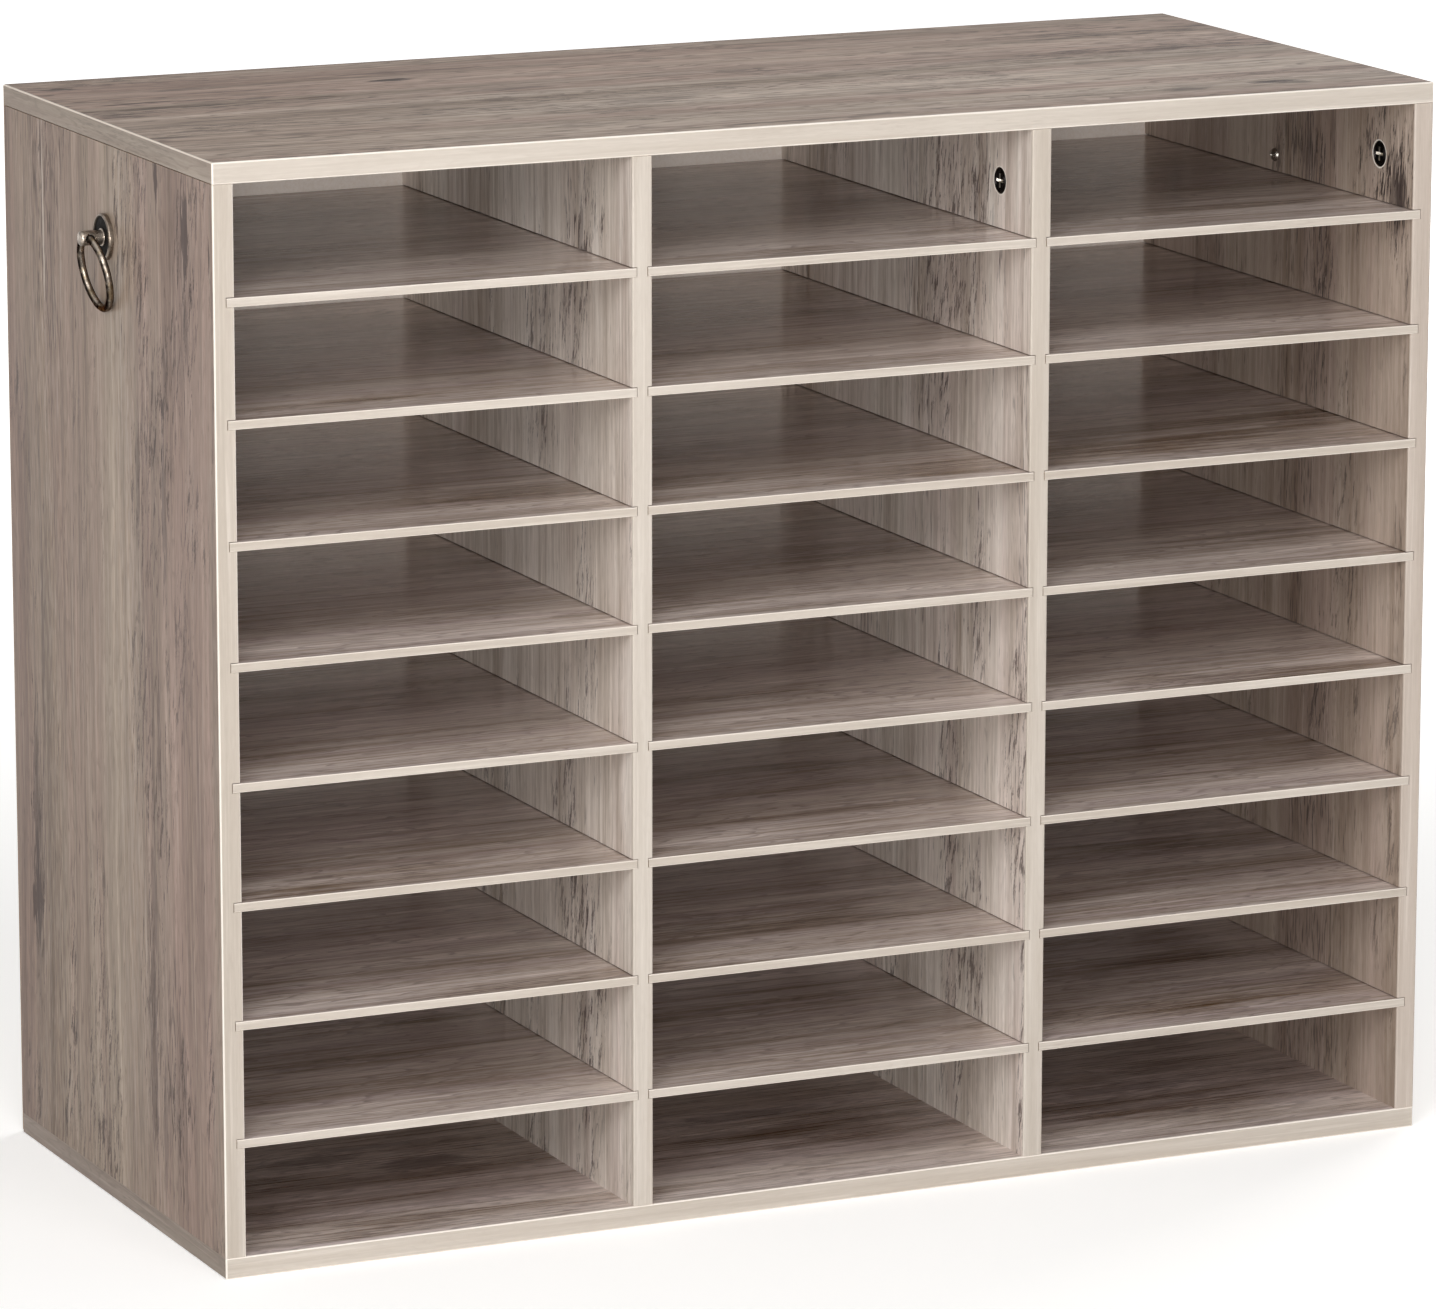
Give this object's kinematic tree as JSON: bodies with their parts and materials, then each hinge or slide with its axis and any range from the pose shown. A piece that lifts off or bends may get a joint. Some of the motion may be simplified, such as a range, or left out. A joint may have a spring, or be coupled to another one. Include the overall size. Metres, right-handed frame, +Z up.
{
  "type": "mail sorter",
  "caption": "Free-standing open-fronted sorter in weathered-oak laminate: columns of shallow paper slots with thin grooved-in shelves, and a hanging ring pull on each side.",
  "frame": {"origin": "on the floor under the middle of the sorter", "axes": "+X across the width to the right, +Y from the open front to the back, +Z up"},
  "size_m": [0.7754, 0.33, 0.616],
  "materials": {
    "oak_laminate": "satin greige weathered-oak printed laminate",
    "pale_edge_band": "pale satin edge band with a fine lengthwise grain",
    "end_band": "satin edge band that matches the laminate",
    "shelf_board": "semi-gloss weathered-oak laminate with a pale front edge",
    "back_board": "thin fibreboard, pale inside and plain brown outside",
    "black_zinc": "black zinc alloy",
    "bright_steel": "zinc-plated steel",
    "aged_nickel": "aged nickel plate, polished on the raised parts",
    "beech_dowel": "plain fluted beech"
  },
  "bodies": {
    "case": {"left_side_panel": "oak_laminate", "left_side_front_band": "pale_edge_band", "divider_1_panel": "oak_laminate", "divider_1_front_band": "pale_edge_band", "divider_2_panel": "oak_laminate", "divider_2_front_band": "pale_edge_band", "right_side_panel": "oak_laminate", "right_side_front_band": "pale_edge_band", "top_panel": "oak_laminate", "top_front_band": "pale_edge_band", "top_left_band": "end_band", "top_right_band": "end_band", "bottom_panel": "oak_laminate", "bottom_front_band": "pale_edge_band", "bottom_left_band": "end_band", "bottom_right_band": "end_band", "back_panel": "back_board", "back_nails": "bright_steel", "cam_locks": "black_zinc", "cam_bolts": "bright_steel", "dowels": "beech_dowel", "base_screws": "bright_steel", "left_pull_rose": "aged_nickel", "left_pull_post": "aged_nickel", "left_pull_screw": "bright_steel", "right_pull_rose": "aged_nickel", "right_pull_post": "aged_nickel", "right_pull_screw": "bright_steel"},
    "column_1_shelf_1": {"column_1_shelf_1": "shelf_board"},
    "column_1_shelf_2": {"column_1_shelf_2": "shelf_board"},
    "column_1_shelf_3": {"column_1_shelf_3": "shelf_board"},
    "column_1_shelf_4": {"column_1_shelf_4": "shelf_board"},
    "column_1_shelf_5": {"column_1_shelf_5": "shelf_board"},
    "column_1_shelf_6": {"column_1_shelf_6": "shelf_board"},
    "column_1_shelf_7": {"column_1_shelf_7": "shelf_board"},
    "column_1_shelf_8": {"column_1_shelf_8": "shelf_board"},
    "column_2_shelf_1": {"column_2_shelf_1": "shelf_board"},
    "column_2_shelf_2": {"column_2_shelf_2": "shelf_board"},
    "column_2_shelf_3": {"column_2_shelf_3": "shelf_board"},
    "column_2_shelf_4": {"column_2_shelf_4": "shelf_board"},
    "column_2_shelf_5": {"column_2_shelf_5": "shelf_board"},
    "column_2_shelf_6": {"column_2_shelf_6": "shelf_board"},
    "column_2_shelf_7": {"column_2_shelf_7": "shelf_board"},
    "column_2_shelf_8": {"column_2_shelf_8": "shelf_board"},
    "column_3_shelf_1": {"column_3_shelf_1": "shelf_board"},
    "column_3_shelf_2": {"column_3_shelf_2": "shelf_board"},
    "column_3_shelf_3": {"column_3_shelf_3": "shelf_board"},
    "column_3_shelf_4": {"column_3_shelf_4": "shelf_board"},
    "column_3_shelf_5": {"column_3_shelf_5": "shelf_board"},
    "column_3_shelf_6": {"column_3_shelf_6": "shelf_board"},
    "column_3_shelf_7": {"column_3_shelf_7": "shelf_board"},
    "column_3_shelf_8": {"column_3_shelf_8": "shelf_board"},
    "left_ring": {"left_pull_ring": "aged_nickel"},
    "right_ring": {"right_pull_ring": "aged_nickel"}
  },
  "joints": [
    {"name": "column_1_shelf_1_slide", "type": "slide", "parent": "case", "child": "column_1_shelf_1", "axis": [0, -1, 0], "range_m": [0, 0.33]},
    {"name": "column_1_shelf_2_slide", "type": "slide", "parent": "case", "child": "column_1_shelf_2", "axis": [0, -1, 0], "range_m": [0, 0.33]},
    {"name": "column_1_shelf_3_slide", "type": "slide", "parent": "case", "child": "column_1_shelf_3", "axis": [0, -1, 0], "range_m": [0, 0.33]},
    {"name": "column_1_shelf_4_slide", "type": "slide", "parent": "case", "child": "column_1_shelf_4", "axis": [0, -1, 0], "range_m": [0, 0.33]},
    {"name": "column_1_shelf_5_slide", "type": "slide", "parent": "case", "child": "column_1_shelf_5", "axis": [0, -1, 0], "range_m": [0, 0.33]},
    {"name": "column_1_shelf_6_slide", "type": "slide", "parent": "case", "child": "column_1_shelf_6", "axis": [0, -1, 0], "range_m": [0, 0.33]},
    {"name": "column_1_shelf_7_slide", "type": "slide", "parent": "case", "child": "column_1_shelf_7", "axis": [0, -1, 0], "range_m": [0, 0.33]},
    {"name": "column_1_shelf_8_slide", "type": "slide", "parent": "case", "child": "column_1_shelf_8", "axis": [0, -1, 0], "range_m": [0, 0.33]},
    {"name": "column_2_shelf_1_slide", "type": "slide", "parent": "case", "child": "column_2_shelf_1", "axis": [0, -1, 0], "range_m": [0, 0.33]},
    {"name": "column_2_shelf_2_slide", "type": "slide", "parent": "case", "child": "column_2_shelf_2", "axis": [0, -1, 0], "range_m": [0, 0.33]},
    {"name": "column_2_shelf_3_slide", "type": "slide", "parent": "case", "child": "column_2_shelf_3", "axis": [0, -1, 0], "range_m": [0, 0.33]},
    {"name": "column_2_shelf_4_slide", "type": "slide", "parent": "case", "child": "column_2_shelf_4", "axis": [0, -1, 0], "range_m": [0, 0.33]},
    {"name": "column_2_shelf_5_slide", "type": "slide", "parent": "case", "child": "column_2_shelf_5", "axis": [0, -1, 0], "range_m": [0, 0.33]},
    {"name": "column_2_shelf_6_slide", "type": "slide", "parent": "case", "child": "column_2_shelf_6", "axis": [0, -1, 0], "range_m": [0, 0.33]},
    {"name": "column_2_shelf_7_slide", "type": "slide", "parent": "case", "child": "column_2_shelf_7", "axis": [0, -1, 0], "range_m": [0, 0.33]},
    {"name": "column_2_shelf_8_slide", "type": "slide", "parent": "case", "child": "column_2_shelf_8", "axis": [0, -1, 0], "range_m": [0, 0.33]},
    {"name": "column_3_shelf_1_slide", "type": "slide", "parent": "case", "child": "column_3_shelf_1", "axis": [0, -1, 0], "range_m": [0, 0.33]},
    {"name": "column_3_shelf_2_slide", "type": "slide", "parent": "case", "child": "column_3_shelf_2", "axis": [0, -1, 0], "range_m": [0, 0.33]},
    {"name": "column_3_shelf_3_slide", "type": "slide", "parent": "case", "child": "column_3_shelf_3", "axis": [0, -1, 0], "range_m": [0, 0.33]},
    {"name": "column_3_shelf_4_slide", "type": "slide", "parent": "case", "child": "column_3_shelf_4", "axis": [0, -1, 0], "range_m": [0, 0.33]},
    {"name": "column_3_shelf_5_slide", "type": "slide", "parent": "case", "child": "column_3_shelf_5", "axis": [0, -1, 0], "range_m": [0, 0.33]},
    {"name": "column_3_shelf_6_slide", "type": "slide", "parent": "case", "child": "column_3_shelf_6", "axis": [0, -1, 0], "range_m": [0, 0.33]},
    {"name": "column_3_shelf_7_slide", "type": "slide", "parent": "case", "child": "column_3_shelf_7", "axis": [0, -1, 0], "range_m": [0, 0.33]},
    {"name": "column_3_shelf_8_slide", "type": "slide", "parent": "case", "child": "column_3_shelf_8", "axis": [0, -1, 0], "range_m": [0, 0.33]},
    {"name": "left_ring_swing", "type": "hinge", "parent": "case", "child": "left_ring", "pos_m": [-0.3825, -0.0015, 0.5525], "axis": [0, 1, 0], "range_deg": [0, 203.2]},
    {"name": "right_ring_swing", "type": "hinge", "parent": "case", "child": "right_ring", "pos_m": [0.3825, -0.0015, 0.5525], "axis": [0, -1, 0], "range_deg": [0, 203.2]}
  ]
}
